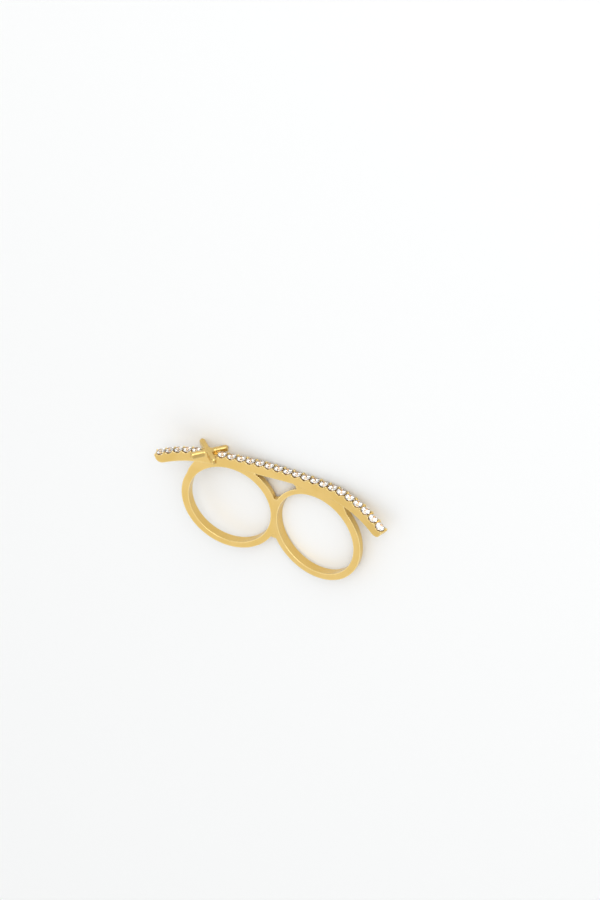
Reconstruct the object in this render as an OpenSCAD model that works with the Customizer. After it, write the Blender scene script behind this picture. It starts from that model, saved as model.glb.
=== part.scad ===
// A ring for two fingers, lying on its side with its front up.
// Two flat-faced hoops stand side by side and share one wall. A slim bent bar crosses their tops
// and carries a single row of round cut stones and a small crossed motif.
// Before it is laid down, X runs along the bar, Y from the holes to the bar and Z to the front.

/* [Hoops] */
// Inside diameter of each finger hole
finger_d = 17; // [16.5:0.1:17.2]
// Metal left between the two holes
shared_wall = 1.5; // [1.4:0.05:1.6]
// Thickness of a hoop at its side
hoop_wall = 1.45; // [1.3:0.05:1.6]
// Width of a hoop along the finger
hoop_w = 1.8; // [1.75:0.05:1.9]
// How far the outer round sits above the hole, which thins the hoop at its foot
hoop_rise = 0.2; // [0:0.05:0.3]
// Rounding of a hoop's outer edge at the back
back_round = 1.1; // [0.6:0.1:1.2]
// Angle between the two hoops, whose fronts face each other a little
fold = 12.5; // [4:0.5:16]
// How far the solder between the hoops reaches above the middle of the holes
web_up = 4.1; // [4:0.1:4.8]
// How far it reaches below the middle
web_down = 4.9; // [4:0.1:5]
// Depth of the solder behind the hoops' front faces
web_deep = 0.9; // [0.7:0.1:1.5]

/* [Bar] */
// Height of the bar's top edge above the finger holes
bar_rise = 2.5; // [2.4:0.05:2.8]
// Height of the bar's front face
bar_h = 1.95; // [1.8:0.05:2.2]
// Reach of the bar to the left, along its bend
bar_left = 24.6; // [24.6:0.1:26]
// Reach of the bar to the right, along its bend
bar_right = 25; // [24.9:0.1:26]
// Rise of the bar to the right, in degrees
bar_lean = 2.4; // [0:0.1:3]
// How far the middle of the bar stands in front of the middle of the hoops
bar_forward = 0.5; // [0.3:0.05:0.6]
// Radius of the bend that lowers the left end
left_drop_r = 27; // [24:1:80]
// Where the left end's drop starts, along the bar
left_drop_from = 14.5; // [14:0.5:18]
// Radius of the bend that lowers the right end
right_drop_r = 21.5; // [20:0.5:80]
// Where the right end's drop starts, along the bar
right_drop_from = 11; // [10:0.5:18]
// Rounding of the bar's lower corners
end_round = 1.2; // [0.8:0.1:1.6]

/* [Stones] */
// Diameter of a stone
stone_d = 1.7; // [1.6:0.05:1.7]
// Clear gap between a stone and its seat
stone_gap = 0.11; // [0.1:0.005:0.11]
// Distance from one stone to the next left of the motif
left_pitch = 1.82; // [1.82:0.01:1.84]
// Distance from one stone to the next right of the motif
right_pitch = 1.93; // [1.9:0.01:1.94]
// Place of the first stone left of the motif, along the bar
left_first = -23.45; // [-23.5:0.01:-23.45]
// Number of stones left of the motif
left_count = 5; // [1:1:5]
// Place of the first stone right of the motif, along the bar
right_first = -11; // [-11.1:0.1:-11]
// Number of stones right of the motif
right_count = 19; // [1:1:19]

/* [Crossed motif] */
// Place of the crossing along the bar
motif_at = -13.75; // [-13.8:0.05:-13.7]
// Length of the arm that runs to the back, from the crossing to its tip
back_arm = 4.25; // [3:0.05:4.4]
// Length of the arm that runs to the right
right_arm = 3.85; // [3:0.05:4.2]
// Length of the arm that runs to the front
front_arm = 3.6; // [3:0.05:4.2]
// Length of the arm that runs to the left
left_arm = 3.55; // [3:0.05:4.2]
// Width of an arm
arm_w = 1.05; // [0.8:0.05:1.05]
// Thickness of an arm
arm_t = 1; // [0.8:0.05:1.1]
// Turn of the whole motif away from an even cross, in degrees
motif_turn = 5.5; // [0:0.5:5.5]

/* [How it lies] */
// Turn about X that the ring takes when it settles on a flat floor
settle_x = -1.1; // [-5:0.1:5]
// Turn about Y that the ring takes when it settles on a flat floor
settle_y = 3.5; // [-5:0.1:5]
// Place of the middle of the shared wall from the middle of the space that the ring takes, along X
from_middle_x = -0.13; // [-1:0.01:1]
// The same place along Y
from_middle_y = -1.07; // [-2:0.01:0]
// Height of the middle of the shared wall above the floor
settle_up = 0.92; // [0:0.001:3]

/* [Hidden] */
gold = [0.86, 0.70, 0.36];
clear_stone = [0.93, 0.95, 0.97];
round_fn = 160;
bend_fn = 720;
small_fn = 24;

hole_r = finger_d / 2;
hoop_r = hole_r + hoop_wall;
hoop_at = hole_r + shared_wall / 2;
bar_top = hole_r + bar_rise;
// A shallow channel runs along the bar's top under the stones and shows dark between them
groove_half = 0.5;
groove_deep = 0.15;
// The bar is made in stretches. Each one further out is thinner all round by a hair and reaches
// into the one before it, so that they join as one solid
hair = 0.01;
joint_deep = 0.3;
web_half = 0.85;
through = 6;
// Solder fills the narrow ends of the gaps between the bar and the hoops' outer sides. Corners of
// each fill from the middle of its hoop: in the hoop, in the bar and on the hoop's side
fill_deep = 1.2;
left_fill = [[5, 8], [6.7, 8.8], [7.4, 7.7], [8.3, 6.2], [8.95, 4.3], [8, 4]];
right_fill = [[3, 9], [3.4, 9.8], [5.6, 9.75], [6.9, 7.2]];
// The window between the hoops and the bar is filed wider on its right and along the bar, down to
// a cone about the right hoop's middle. Its corners are measured from there
window_r = 9.5;
window_taper = 0.2;
window = [[-9.6, 4.15], [-8.3, 4.15], [-4.2, 8.5], [-4.85, 9.5], [-10.6, 9]];

// A brilliant cut in parts of the stone's diameter
stone_r = stone_d / 2;
table_r = 0.56 * stone_r;
star_r = 0.78 * stone_r;
lower_r = 0.22 * stone_r;
crown_h = 0.16 * stone_d;
girdle_h = 0.03 * stone_d;
pavilion_h = 0.43 * stone_d;
// Height of the girdle's middle above the bar's top edge
stone_up = 0.05;

// The stone has eight equal parts round its table
eighth = 360 / 8;
half = eighth / 2;

// The seat follows the pavilion at the gap's distance, outside the corners of its main facets
pavilion_tan = stone_r / pavilion_h;
main_bulge = lower_r * (1 - cos(half));
seat_widen = stone_gap * sqrt(1 + pow(pavilion_tan, 2)) + main_bulge;
seat_r = stone_r + seat_widen;
seat_h = seat_r / pavilion_tan;
// The seat's cut goes on above the girdle by this much
seat_clear = 1;
// Between the beads the bar's edges are cut down in a scallop
scallop_r = 0.82;
scallop_up = 0.56;

bead_r = 0.18;
bead_up = 0.06;
bead_out = hoop_w / 2 - 0.1;
// Distance from a row's last stone to the beads at the bar's end
bead_end = 0.97;

arm_bevel = 0.2;
// The motif is soldered into the bar's top by this much
motif_sink = 0.45;
// Rounding of the hollow corners between two arms. The hollows cut into the arms' sides a little,
// so that no round face only touches a flat one
corner_r = 0.75;
corner_bite = 0.05;

function stone_row(first, count, pitch) = [for (i = [0 : count - 1]) first + i * pitch];
stones = concat(stone_row(left_first, left_count, left_pitch),
                stone_row(right_first, right_count, right_pitch));

// A bead pair stands between each two stones and at both ends of the bar
function bead_row(first, count, pitch) = [for (i = [1 : 1 : count - 1]) first + (i - 0.5) * pitch];
beads = concat([left_first - bead_end], bead_row(left_first, left_count, left_pitch),
               bead_row(right_first, right_count, right_pitch),
               [right_first + (right_count - 1) * right_pitch + bead_end]);

// How sharply the bar bends, as one over the bend's radius: forward all along, in step with
// the fold of the hoops, and down at the two ends
forward = sin(fold / 2) / hoop_at;
level = 0;
left_drop = 1 / left_drop_r;
right_drop = 1 / right_drop_r;
function bend_r(drop) = 1 / sqrt(pow(forward, 2) + pow(drop, 2));
// Slope of the plane of a bend: 0 bends straight down and 90 straight forward
function bend_slope(drop) = atan2(forward, drop);
function degrees_of(length, drop) = length / bend_r(drop) * 180 / PI;
function two_digits(n) = str(n < 10 ? "0" : "", n);
function stone_name(i) = str("stone_", two_digits(i + 1));

// The ring as it settles on a flat floor
module laid() {
    translate([from_middle_x, from_middle_y, settle_up])
        rotate([settle_x, settle_y, 0])
            children();
}

// From the plane that a bend is drawn in to the bar's own directions
module from_bend_plane(drop) {
    rotate([180 - bend_slope(drop), 0, 0])
        rotate([0, 0, -90])
            children();
}

module to_bend_plane(drop) {
    rotate([0, 0, 90])
        rotate([bend_slope(drop) - 180, 0, 0])
            children();
}

// Carries its children round a bend that starts at the origin
module round_bend(drop, length) {
    from_bend_plane(drop)
        translate([-bend_r(drop), 0, 0])
            rotate([0, 0, degrees_of(length, drop)])
                translate([bend_r(drop), 0, 0])
                    to_bend_plane(drop)
                        children();
}

// Top edge of the bar at its middle, leaning as the bar does
module bar_middle() {
    translate([0, bar_top, bar_forward])
        rotate([0, 0, bar_lean])
            children();
}

// Top edge of the bar at a distance along it
module along_bar(place) {
    bar_middle()
        if (place > right_drop_from)
            round_bend(level, right_drop_from)
                round_bend(right_drop, place - right_drop_from)
                    children();
        else if (place < -left_drop_from)
            round_bend(level, -left_drop_from)
                round_bend(left_drop, place + left_drop_from)
                    children();
        else
            round_bend(level, place)
                children();
}

// The bar cut across, with its top edge at the origin and the front towards +Y
module bar_section(thinner) {
    side = hoop_w / 2 - thinner;
    groove_side = groove_half + thinner;
    groove_floor = -groove_deep - thinner;
    polygon([[thinner - bar_h, -side], [-thinner, -side],
             [-thinner, -groove_side], [groove_floor, -groove_side],
             [groove_floor, groove_side], [-thinner, groove_side],
             [-thinner, side], [thinner - bar_h, side]]);
}

// One bent stretch of the bar, measured from the start of its bend
module bent_bar(drop, from, to, thinner) {
    from_bend_plane(drop)
        translate([-bend_r(drop), 0, 0])
            rotate([0, 0, degrees_of(from, drop)])
                rotate_extrude(angle = degrees_of(to - from, drop), $fn = bend_fn)
                    translate([bend_r(drop), 0])
                        rotate(-bend_slope(drop))
                            bar_section(thinner);
}

// The bar's end, whose lower corner is rounded, drawn towards +X
module bar_end() {
    thinner = 2 * hair;
    corner = end_round - thinner;
    linear_extrude(hoop_w - 2 * thinner, center = true) {
        translate([-joint_deep, end_round - bar_h])
            square([corner + joint_deep, bar_h - end_round - thinner]);
        translate([-joint_deep, thinner - bar_h])
            square([joint_deep, corner]);
        intersection() {
            translate([0, end_round - bar_h])
                circle(corner, $fn = round_fn);
            translate([0, thinner - bar_h])
                square(corner);
        }
    }
}

module bar() {
    bar_middle()
        bent_bar(level, -left_drop_from, right_drop_from, 0);
    along_bar(right_drop_from)
        bent_bar(right_drop, -joint_deep, bar_right - end_round - right_drop_from, hair);
    along_bar(-left_drop_from)
        bent_bar(left_drop, end_round + left_drop_from - bar_left, joint_deep, hair);
    along_bar(bar_right - end_round)
        bar_end();
    along_bar(end_round - bar_left)
        mirror([1, 0, 0])
            bar_end();
}

// Places its children in the middle of one finger hole
module at_hole(side) {
    rotate([0, -side * fold / 2, 0])
        translate([side * hoop_at, 0, 0])
            children();
}

// Half of a hoop's section, filled to the axis: flat in front and rounded at the back
module hoop_section() {
    translate([0, -hoop_w / 2])
        square([hoop_r - back_round, hoop_w]);
    translate([0, back_round - hoop_w / 2])
        square([hoop_r, hoop_w - back_round]);
    intersection() {
        translate([hoop_r - back_round, back_round - hoop_w / 2])
            circle(back_round, $fn = round_fn);
        translate([0, -hoop_w / 2])
            square([hoop_r, hoop_w]);
    }
}

// Solder in the narrow end of the gap between a hoop and the bar
module gap_fill(side) {
    translate([0, 0, hoop_w / 2 - fill_deep])
        linear_extrude(fill_deep)
            if (side < 0)
                mirror([1, 0])
                    polygon(left_fill);
            else
                polygon(right_fill);
}

// One hoop as a full disc, cut off where it meets the other
module hoop(side) {
    intersection() {
        at_hole(side) {
            translate([0, hoop_rise, 0])
                rotate_extrude($fn = round_fn)
                    hoop_section();
            gap_fill(side);
        }
        translate([side * hoop_r * 2, 0, 0])
            cube(hoop_r * 4, center = true);
    }
}

// Solder that fills the front of the gap above and below the line where the hoops meet
module web() {
    translate([-web_half, -web_down, hoop_w / 2 - web_deep])
        cube([web_half * 2, web_down + web_up, web_deep]);
}

module finger_hole(side) {
    at_hole(side)
        cylinder(r = hole_r, h = through, center = true, $fn = round_fn);
}

module window_cut() {
    middle_r = window_r - window_taper * hoop_w / 2;
    at_hole(1)
        difference() {
            linear_extrude(through, center = true)
                polygon(window);
            cylinder(r1 = middle_r - window_taper * through, r2 = middle_r + window_taper * through,
                     h = through * 2, center = true, $fn = round_fn);
        }
}

// Cone for the stone's underside, and the scallop that bares its sides
module seat() {
    translate([0, stone_up - girdle_h / 2, 0])
        rotate([-90, 0, 0])
            rotate_extrude($fn = small_fn * 2)
                polygon([[0, -seat_h], [seat_r, 0], [seat_r, seat_clear], [0, seat_clear]]);
    translate([0, scallop_up, 0])
        cylinder(r = scallop_r, h = through, center = true, $fn = small_fn * 2);
}

// Neighbouring seats cross, so the row of seats is cut as two sets in which none touch
module every_second_seat(first) {
    for (i = [first : 2 : len(stones) - 1])
        along_bar(stones[i])
            seat();
}

module bead_pair() {
    for (side = [-1, 1])
        translate([0, bead_up, side * bead_out])
            sphere(bead_r, $fn = small_fn);
}

// Two arms in one line with bevelled upper edges and round ends
module arms(before, behind) {
    rotate([0, 90, 0])
        translate([0, 0, arm_w / 2 - before])
            linear_extrude(before + behind - arm_w)
                polygon([[arm_w / 2, 0], [arm_w / 2, arm_t - arm_bevel], [arm_w / 2 - arm_bevel, arm_t],
                         [arm_bevel - arm_w / 2, arm_t], [-arm_w / 2, arm_t - arm_bevel], [-arm_w / 2, 0]]);
    for (place = [arm_w / 2 - before, behind - arm_w / 2])
        translate([place, 0, 0])
            rotate([-90, 0, 0]) {
                cylinder(r = arm_w / 2, h = arm_t - arm_bevel, $fn = small_fn * 2);
                translate([0, 0, arm_t - arm_bevel])
                    cylinder(r1 = arm_w / 2, r2 = arm_w / 2 - arm_bevel, h = arm_bevel, $fn = small_fn * 2);
            }
}

// The middle of the motif, hollow-rounded between its arms and bevelled as they are
module crossing() {
    corner_at = arm_w / 2 + corner_r;
    hollow_r = corner_r + corner_bite;
    rotate([-90, 0, 0])
        difference() {
            translate([-corner_at, -corner_at, 0])
                cube([corner_at * 2, corner_at * 2, arm_t]);
            for (x = [-corner_at, corner_at], y = [-corner_at, corner_at])
                translate([x, y, arm_t - arm_bevel]) {
                    translate([0, 0, -through])
                        cylinder(r = hollow_r, h = through, $fn = small_fn * 2);
                    cylinder(r1 = hollow_r, r2 = hollow_r + arm_bevel * 2, h = arm_bevel * 2,
                             $fn = small_fn * 2);
                }
        }
}

module crossed_motif() {
    along_bar(motif_at)
        translate([0, -motif_sink, 0])
            rotate([0, -motif_turn, 0]) {
                rotate([0, -45, 0])
                    arms(back_arm, front_arm);
                rotate([0, 45, 0])
                    arms(left_arm, right_arm);
                rotate([0, 45, 0])
                    crossing();
            }
}

module ring_frame() {
    color(gold)
        laid() {
            difference() {
                union() {
                    hoop(-1);
                    web();
                    difference() {
                        union() {
                            hoop(1);
                            bar();
                        }
                        window_cut();
                    }
                }
                finger_hole(-1);
                finger_hole(1);
                every_second_seat(0);
                every_second_seat(1);
            }
            for (place = beads)
                along_bar(place)
                    bead_pair();
            crossed_motif();
        }
}

// A point at a polar place and a height, with the stone's axis along Y
function polar(radius, angle, height) = [radius * cos(angle), height, radius * sin(angle)];

// Round brilliant: table, stars, kites, girdle and pavilion mains
module stone() {
    crown_fall = crown_h / (stone_r - table_r);
    star_up = girdle_h / 2 + crown_h - (star_r * cos(half) - table_r) * crown_fall;
    lower_up = (lower_r * cos(half) / stone_r - 1) * pavilion_h - girdle_h / 2;
    table = [for (k = [0 : 7]) polar(table_r, k * eighth, girdle_h / 2 + crown_h)];
    stars = [for (k = [0 : 7]) polar(star_r, k * eighth + half, star_up)];
    upper = [for (k = [0 : 15]) polar(stone_r, k * half, girdle_h / 2)];
    lower = [for (k = [0 : 15]) polar(stone_r, k * half, -girdle_h / 2)];
    mains = [for (k = [0 : 7]) polar(lower_r, k * eighth + half, lower_up)];
    culet = [[0, -girdle_h / 2 - pavilion_h, 0]];
    star_i = 8;
    upper_i = 16;
    lower_i = 32;
    main_i = 48;
    culet_i = 56;
    faces = concat(
        [[for (k = [0 : 7]) k]],
        [for (k = [0 : 7]) [k, star_i + k, (k + 1) % 8]],
        [for (k = [0 : 7]) [k, star_i + (k + 7) % 8, upper_i + 2 * k, star_i + k]],
        [for (k = [0 : 7]) [star_i + k, upper_i + 2 * k, upper_i + 2 * k + 1]],
        [for (k = [0 : 7]) [star_i + k, upper_i + 2 * k + 1, upper_i + (2 * k + 2) % 16]],
        [for (k = [0 : 15]) [upper_i + k, lower_i + k, lower_i + (k + 1) % 16, upper_i + (k + 1) % 16]],
        [for (k = [0 : 7]) [main_i + k, lower_i + 2 * k + 1, lower_i + 2 * k]],
        [for (k = [0 : 7]) [main_i + k, lower_i + (2 * k + 2) % 16, lower_i + 2 * k + 1]],
        [for (k = [0 : 7]) [culet_i, main_i + k, lower_i + 2 * k, main_i + (k + 7) % 8]]);
    polyhedron(concat(table, stars, upper, lower, mains, culet), faces);
}

module set_stone(i) {
    color(clear_stone)
        laid()
            along_bar(stones[i])
                translate([0, stone_up, 0])
                    stone();
}

ring_frame();
for (i = [0 : len(stones) - 1]) set_stone(i);
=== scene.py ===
import math

import bpy
from mathutils import Matrix, Vector

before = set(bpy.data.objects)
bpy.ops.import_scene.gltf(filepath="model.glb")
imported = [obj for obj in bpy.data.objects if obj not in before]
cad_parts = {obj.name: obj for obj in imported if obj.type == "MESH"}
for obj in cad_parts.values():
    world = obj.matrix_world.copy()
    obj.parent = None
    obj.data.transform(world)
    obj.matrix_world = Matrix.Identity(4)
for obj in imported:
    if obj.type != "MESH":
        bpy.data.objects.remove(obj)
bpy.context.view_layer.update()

# Ring frame
# The two hoops, the solder between them, the bar with its seats and beads and the crossed motif.
# Cast brass with a thin pale gold plate, soldered together, its faces blasted to a soft satin and
# its walls left smoother from the polishing wheel.
MM = 0.001
PLATE_GOLD = "#DFBD70"
PLATE_PALE = "#E6C67F"
# Painted shade: the deeper gold put into crevices
PLATE_PAINTED_SHADE = "#D2A65A"
# Painted highlight: the pale gold put on edges and beads
PLATE_PAINTED_HIGHLIGHT = "#FCE6A6"
SATIN_ROUGHNESS = 0.36
WHEEL_ROUGHNESS = 0.22
EDGE_ROUGHNESS = 0.14

# How much a surface faces up as the ring lies, from 0 to 1: a wall less than the first, a front
# more than the second
WALL_UP = 0.5
FRONT_UP = 0.9

# Patches of paler plate, and the noise values at which one begins and is full
PLATE_CLOUD_MM = 5.0
CLOUD_BEGINS = 0.35
CLOUD_FULL = 0.7

# Shallow waves from the wheel, four times as long round a hole as across its wall
WHEEL_WAVE_MM = 3.6
WHEEL_WAVE_STRETCH = 4
WHEEL_WAVE_DEEP_MM = 0.12
WAVE_ON_WALLS = 1.0
WAVE_ON_FRONTS = 0.1

# The real blasted grain is about 0.03 mm and would not show, so it is drawn coarser
SATIN_GRAIN_MM = 0.12
SATIN_GRAIN_DEEP_MM = 0.02
SATIN_GRAIN_STRENGTH = 0.5

# Edges rounded and burnished in the tumbler, which leaves them smoother, and how far the smoother
# finish and a painted highlight reach from an edge; and the share of rays through the metal that
# stay inside it where it is flat and where it is fully an edge
EDGE_ROUNDING_MM = 0.1
EDGE_WEAR_AND_HIGHLIGHT_MM = 0.22
FLAT_SHARE = 0.9
EDGE_SHARE = 0.5

# Crevices, which get a painted shade, and the share of rays that get away from one and from an open
# place
CREVICE_MM = 0.35
CREVICE_SHARE = 0.2
OPEN_SHARE = 0.7

# Rays cast from each point to find edges and crevices near it
NEARBY_RAYS = 8


def linear(hex_colour):
    """An sRGB hex colour as the linear colour that the shaders take."""
    channels = [int(hex_colour[i:i + 2], 16) / 255 for i in (1, 3, 5)]
    return [c / 12.92 if c <= 0.04045 else ((c + 0.055) / 1.055) ** 2.4 for c in channels] + [1.0]


def add_node(tree, kind, settings=None, links=None, **values):
    """A node with its settings, its own socket values, and links from other nodes' outputs."""
    node = tree.nodes.new(kind)
    for name, value in (settings or {}).items():
        setattr(node, name, value)
    for name, value in values.items():
        node.inputs[name.replace("_", " ")].default_value = value
    for name, source in (links or {}).items():
        tree.links.new(source, node.inputs[name])
    return node


def empty_material(name):
    """A material with only its output node."""
    material = bpy.data.materials.new(name)
    material.use_nodes = True
    material.node_tree.nodes.clear()
    output = material.node_tree.nodes.new("ShaderNodeOutputMaterial")
    return material, material.node_tree, output


# Gold plate takes the finish of the brass under it: the front faces give broad soft reflections,
# the walls sharper and slightly wavy ones, and burnished edges and beads smoother ones. Edges and
# beads also get a thin pale line of painted highlight, and crevices a deeper tone of painted shade.
gold_plate, tree, output = empty_material("gold_plated_cast_brass")
place = add_node(tree, "ShaderNodeTexCoord").outputs["Object"]
cloud = add_node(tree, "ShaderNodeTexNoise", links={"Vector": place},
                 Scale=1 / (PLATE_CLOUD_MM * MM), Detail=3.0, Roughness=0.55)
round_the_hole = add_node(tree, "ShaderNodeMapping", links={"Vector": place},
                          Scale=(1, 1, WHEEL_WAVE_STRETCH))
wave = add_node(tree, "ShaderNodeTexNoise", links={"Vector": round_the_hole.outputs["Vector"]},
                Scale=1 / (WHEEL_WAVE_MM * MM), Detail=2.0, Roughness=0.5)
grain = add_node(tree, "ShaderNodeTexNoise", links={"Vector": place},
                 Scale=1 / (SATIN_GRAIN_MM * MM), Detail=3.0, Roughness=0.6)
surface = add_node(tree, "ShaderNodeNewGeometry")
facing = add_node(tree, "ShaderNodeSeparateXYZ", links={"Vector": surface.outputs["True Normal"]})
wave_strength = add_node(tree, "ShaderNodeMapRange", links={"Value": facing.outputs["Z"]},
                         From_Min=WALL_UP, From_Max=FRONT_UP,
                         To_Min=WAVE_ON_WALLS, To_Max=WAVE_ON_FRONTS)
soft_edge = add_node(tree, "ShaderNodeBevel", {"samples": NEARBY_RAYS}, Radius=EDGE_ROUNDING_MM * MM)
wave_bump = add_node(tree, "ShaderNodeBump", links={"Height": wave.outputs["Fac"],
                                                    "Strength": wave_strength.outputs["Result"],
                                                    "Normal": soft_edge.outputs["Normal"]},
                     Distance=WHEEL_WAVE_DEEP_MM * MM)
grain_bump = add_node(tree, "ShaderNodeBump", links={"Height": grain.outputs["Fac"],
                                                     "Normal": wave_bump.outputs["Normal"]},
                      Strength=SATIN_GRAIN_STRENGTH, Distance=SATIN_GRAIN_DEEP_MM * MM)

# Rays cast into the metal come out again soon at an edge or a bead, and nowhere else
depth = add_node(tree, "ShaderNodeAmbientOcclusion", {"samples": NEARBY_RAYS, "inside": True},
                 Distance=EDGE_WEAR_AND_HIGHLIGHT_MM * MM)
worn_edge_and_painted_highlight = add_node(tree, "ShaderNodeMapRange", links={"Value": depth.outputs["AO"]},
                     From_Min=FLAT_SHARE, From_Max=EDGE_SHARE)
front_or_wall = add_node(tree, "ShaderNodeMapRange", links={"Value": facing.outputs["Z"]},
                         From_Min=WALL_UP, From_Max=FRONT_UP,
                         To_Min=WHEEL_ROUGHNESS, To_Max=SATIN_ROUGHNESS)
rough = add_node(tree, "ShaderNodeMix", links={"Factor": worn_edge_and_painted_highlight.outputs["Result"],
                                               "A": front_or_wall.outputs["Result"]},
                 B=EDGE_ROUGHNESS)

# Painted shade: a deeper colour where few rays get out of a crevice
crevice = add_node(tree, "ShaderNodeAmbientOcclusion", {"samples": NEARBY_RAYS},
                   Distance=CREVICE_MM * MM)
open_or_painted_shade = add_node(tree, "ShaderNodeMapRange", links={"Value": crevice.outputs["AO"]},
                        From_Min=CREVICE_SHARE, From_Max=OPEN_SHARE)
cloudy = add_node(tree, "ShaderNodeMapRange", links={"Value": cloud.outputs["Fac"]},
                  From_Min=CLOUD_BEGINS, From_Max=CLOUD_FULL)
open_tone = add_node(tree, "ShaderNodeMix", {"data_type": "RGBA"}, {"Factor": cloudy.outputs["Result"]},
                     A=linear(PLATE_GOLD), B=linear(PLATE_PALE))
tone = add_node(tree, "ShaderNodeMix", {"data_type": "RGBA"},
                {"Factor": open_or_painted_shade.outputs["Result"], "B": open_tone.outputs["Result"]},
                A=linear(PLATE_PAINTED_SHADE))
# Painted highlight: edges and beads are made paler
edge_painted_highlight = add_node(tree, "ShaderNodeMix", {"data_type": "RGBA"},
                     {"Factor": worn_edge_and_painted_highlight.outputs["Result"], "A": tone.outputs["Result"]},
                     B=linear(PLATE_PAINTED_HIGHLIGHT))
plate = add_node(tree, "ShaderNodeBsdfPrincipled", links={"Base Color": edge_painted_highlight.outputs["Result"],
                                                          "Roughness": rough.outputs["Result"],
                                                          "Normal": grain_bump.outputs["Normal"]},
                 Metallic=1.0)
tree.links.new(plate.outputs["BSDF"], output.inputs["Surface"])

ring_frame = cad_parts["ring_frame"]
for slot in ring_frame.material_slots:
    slot.material = gold_plate

# Stones
# Round brilliants of cubic zirconia, ground and polished, each in a cone-shaped seat of the bar
# and held at its girdle by small beads raised from the metal.
STONE_TINT = "#FFFDF8"
STONE_GREY = "#F6F4F0"
STONE_ROUGHNESS = 0.02
STONE_IOR = 2.16

# Cubic zirconia is clear and bends light more than glass, so its facets show as small grey and
# white patches; the stones differ a little in tint, as stones from one parcel do.
zirconia, tree, output = empty_material("polished_cubic_zirconia")
each = add_node(tree, "ShaderNodeObjectInfo")
tint = add_node(tree, "ShaderNodeMix", {"data_type": "RGBA"}, {"Factor": each.outputs["Random"]},
                A=linear(STONE_TINT), B=linear(STONE_GREY))
gem = add_node(tree, "ShaderNodeBsdfPrincipled", links={"Base Color": tint.outputs["Result"]},
               Roughness=STONE_ROUGHNESS, IOR=STONE_IOR, Transmission_Weight=1.0)
tree.links.new(gem.outputs["BSDF"], output.inputs["Surface"])

for name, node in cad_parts.items():
    if name.startswith("stone_"):
        for slot in node.material_slots:
            slot.material = zirconia

# Floor
# A wide sheet of white uncoated paper laid flat, made of pressed fibres, on which the ring
# lies loose.
PAPER_WHITE = "#F2F3F3"
PAPER_HALF_M = 2.0
PAPER_ROUGHNESS = 0.95
PAPER_GLOSS = 0.1
PAPER_FIBRE_MM = 0.6
PAPER_FIBRE_DEEP_MM = 0.02
PAPER_FIBRE_STRENGTH = 0.05

# Matte uncoated paper: no gloss, and a grain of short fibres that is barely seen.
paper, tree, output = empty_material("matte_white_paper")
place = add_node(tree, "ShaderNodeTexCoord").outputs["Object"]
fibre = add_node(tree, "ShaderNodeTexNoise", links={"Vector": place},
                 Scale=1 / (PAPER_FIBRE_MM * MM), Detail=2.0)
fibre_bump = add_node(tree, "ShaderNodeBump", links={"Height": fibre.outputs["Fac"]},
                      Strength=PAPER_FIBRE_STRENGTH, Distance=PAPER_FIBRE_DEEP_MM * MM)
sheet = add_node(tree, "ShaderNodeBsdfPrincipled", links={"Normal": fibre_bump.outputs["Normal"]},
                 Base_Color=linear(PAPER_WHITE), Roughness=PAPER_ROUGHNESS,
                 Specular_IOR_Level=PAPER_GLOSS)
tree.links.new(sheet.outputs["BSDF"], output.inputs["Surface"])

floor_mesh = bpy.data.meshes.new("paper_floor")
corners = [(x * PAPER_HALF_M, y * PAPER_HALF_M, 0) for x, y in ((-1, -1), (1, -1), (1, 1), (-1, 1))]
floor_mesh.from_pydata(corners, [], [(0, 1, 2, 3)])
floor_mesh.materials.append(paper)
floor = bpy.data.objects.new("paper_floor", floor_mesh)
bpy.context.scene.collection.objects.link(floor)

# Light
# A white room, a little brighter above, and three soft boxes: a weak one that the front faces
# mirror, a wide low one that the stones and the bar's top face, and one beyond the camera that
# lights the paper inside the holes.
ROOM_WHITE = "#FFFFFF"
ROOM_LOW = 0.65
ROOM_HIGH = 0.79
SOFT_BOXES = [
    # name, place in metres, width in metres, watts
    ("soft_box_front", (-0.13, -0.22, 0.3), 0.35, 0.15),
    ("soft_box_low", (0.3, 0.75, 0.3), 0.72, 2.4),
    ("soft_box_behind_camera", (0.34, 0.52, 0.66), 0.6, 2.4),
]

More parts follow.
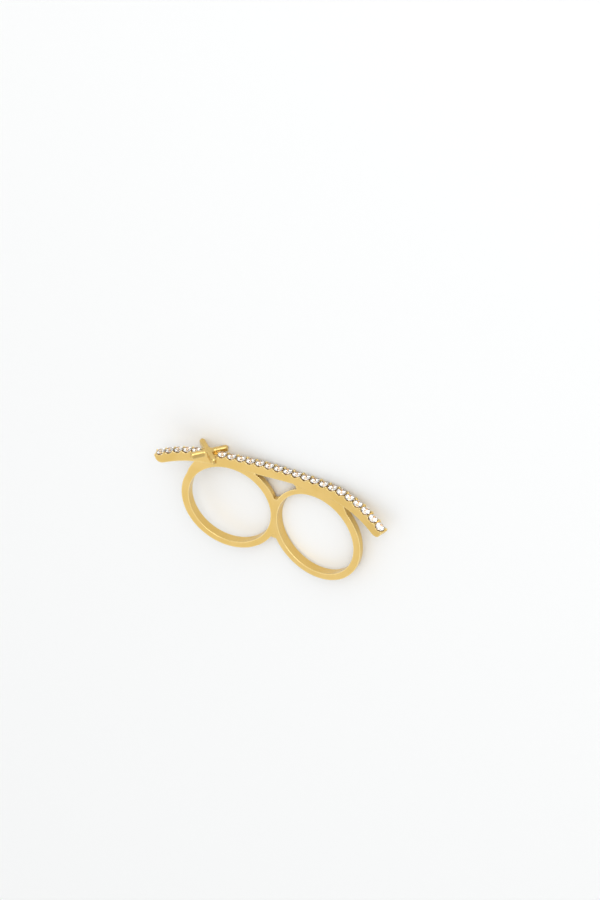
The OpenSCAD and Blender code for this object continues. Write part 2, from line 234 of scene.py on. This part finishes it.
room = bpy.data.worlds.new("white_room")
room.use_nodes = True
room_tree = room.node_tree
view_direction = add_node(room_tree, "ShaderNodeTexCoord").outputs["Generated"]
height = add_node(room_tree, "ShaderNodeSeparateXYZ", links={"Vector": view_direction})
brightness = add_node(room_tree, "ShaderNodeMapRange", links={"Value": height.outputs["Z"]},
                      To_Min=ROOM_LOW, To_Max=ROOM_HIGH)
sky = room_tree.nodes["Background"]
sky.inputs["Color"].default_value = linear(ROOM_WHITE)
room_tree.links.new(brightness.outputs["Result"], sky.inputs["Strength"])
bpy.context.scene.world = room

for name, at, width, watts in SOFT_BOXES:
    lamp = bpy.data.lights.new(name, "AREA")
    lamp.size = width
    lamp.energy = watts
    box = bpy.data.objects.new(name, lamp)
    box.location = at
    box.rotation_euler = (-Vector(at)).to_track_quat("-Z", "Y").to_euler()
    box.visible_camera = False
    bpy.context.scene.collection.objects.link(box)

# Camera
# It looks at the ring from the side and the distance of the photograph. The ring lies down here,
# so the camera is rolled to keep the ring as it is in the picture.
AIM = Vector((4.276, 14.925, 0.0)) * MM
DISTANCE = 270.652 * MM
AZIMUTH = math.radians(54.28)
ELEVATION = math.radians(44.068)
ROLL = math.radians(-133.059)
LENS_MM = 60
FILM_MM = 36
NEAREST_SEEN_M = 0.01

towards = Vector((math.cos(ELEVATION) * math.cos(AZIMUTH),
                  math.cos(ELEVATION) * math.sin(AZIMUTH),
                  math.sin(ELEVATION)))
level_right = Vector((0, 0, 1)).cross(towards).normalized()
level_up = towards.cross(level_right)
right = level_right * math.cos(ROLL) + level_up * math.sin(ROLL)
up = towards.cross(right)
lens = bpy.data.cameras.new("camera")
lens.lens = LENS_MM
lens.sensor_width = FILM_MM
lens.clip_start = NEAREST_SEEN_M
camera = bpy.data.objects.new("camera", lens)
turn = Matrix((right, up, towards)).transposed().to_4x4()
camera.matrix_world = Matrix.Translation(AIM + towards * DISTANCE) @ turn
bpy.context.scene.collection.objects.link(camera)
bpy.context.scene.camera = camera
bpy.context.scene.view_settings.view_transform = "Standard"
